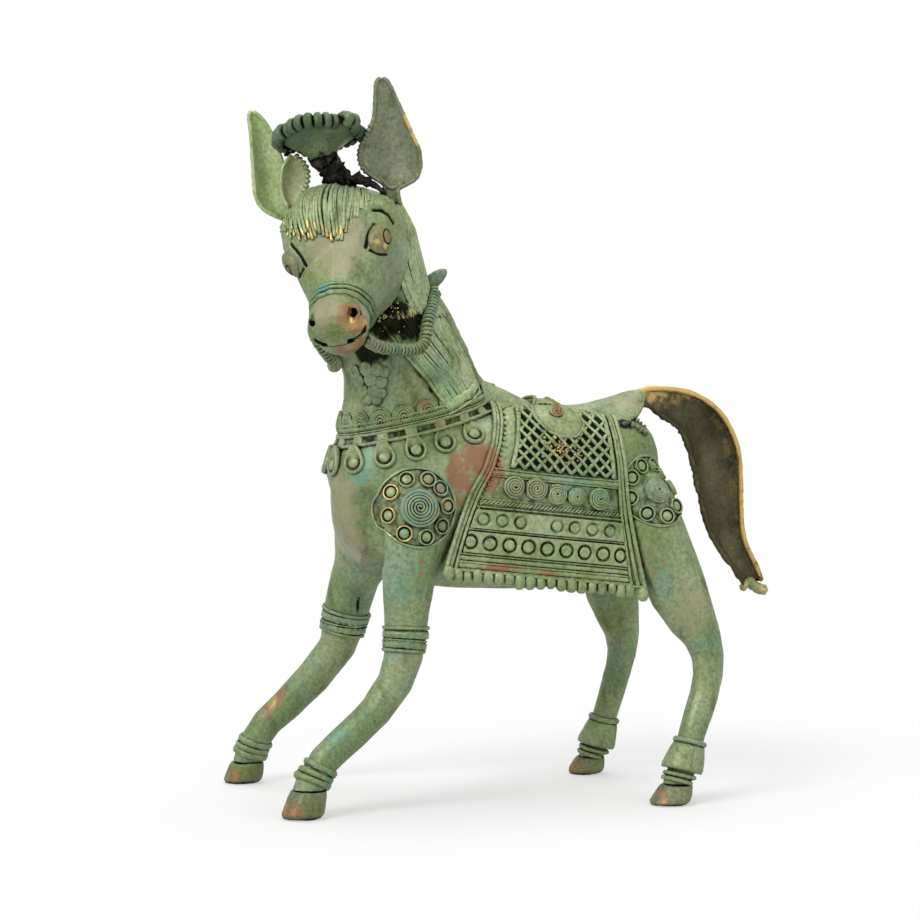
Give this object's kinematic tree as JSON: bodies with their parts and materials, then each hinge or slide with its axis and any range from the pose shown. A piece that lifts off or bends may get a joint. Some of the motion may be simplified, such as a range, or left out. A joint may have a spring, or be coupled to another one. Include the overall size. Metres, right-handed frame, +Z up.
{
  "type": "cast brass horse ornament",
  "caption": "Standing lost-wax cast brass horse with turned head, patterned blanket, saddle, bead collar, wound reins and a leaf tail; a free-standing ornament resting on flat soles.",
  "frame": {"origin": "middle of the bounding box, on the plane of the four soles", "axes": "+Z up; the body faces -Y; the horse's left side is +X"},
  "size_m": [0.1172, 0.2304, 0.2985],
  "materials": {
    "patina_brass": "matte green verdigris over cast brass",
    "worn_brass": "satin, rubbed bright on the edges",
    "dark_bronze": "dark brown oxide, satin",
    "fired_clay": "matte baked clay"
  },
  "bodies": {
    "root": {"torso_shell": "patina_brass", "clay_core": "fired_clay", "neck_shell": "patina_brass", "head": "patina_brass", "muzzle": "patina_brass", "lower_lip": "patina_brass", "noseband": "patina_brass", "left_eye": "patina_brass", "right_eye": "patina_brass", "left_ear": "patina_brass", "right_ear": "patina_brass", "crest_flower": "patina_brass", "crest_stem": "dark_bronze", "forelock": "worn_brass", "left_foreleg": "patina_brass", "right_foreleg": "patina_brass", "left_hindleg": "patina_brass", "right_hindleg": "patina_brass", "left_fore_hoof": "worn_brass", "right_fore_hoof": "worn_brass", "left_hind_hoof": "worn_brass", "right_hind_hoof": "worn_brass", "left_knee_band": "patina_brass", "right_knee_band": "patina_brass", "left_fore_fetlock_band": "patina_brass", "right_fore_fetlock_band": "patina_brass", "left_hind_cuff": "patina_brass", "right_hind_cuff": "patina_brass", "left_hind_anklet": "patina_brass", "right_hind_anklet": "patina_brass", "left_shoulder_rosette": "patina_brass", "left_rump_rosette": "patina_brass", "right_shoulder_rosette": "patina_brass", "right_rump_rosette": "patina_brass", "left_blanket": "patina_brass", "left_lattice": "patina_brass", "left_scroll_row": "patina_brass", "left_upper_ring_row": "patina_brass", "left_lower_ring_row": "patina_brass", "left_fringe": "patina_brass", "right_blanket": "patina_brass", "right_lattice": "patina_brass", "right_scroll_row": "patina_brass", "right_upper_ring_row": "patina_brass", "right_lower_ring_row": "patina_brass", "right_fringe": "patina_brass", "collar": "patina_brass", "collar_scrolls": "patina_brass", "left_mane": "patina_brass", "right_mane": "patina_brass", "saddle_seat": "patina_brass", "left_saddle_flap": "patina_brass", "right_saddle_flap": "patina_brass", "crupper": "patina_brass", "tail": "dark_bronze", "rein_peg": "worn_brass", "left_rein": "patina_brass", "right_rein": "patina_brass", "throat_tassel": "patina_brass"}
  },
  "joints": []
}
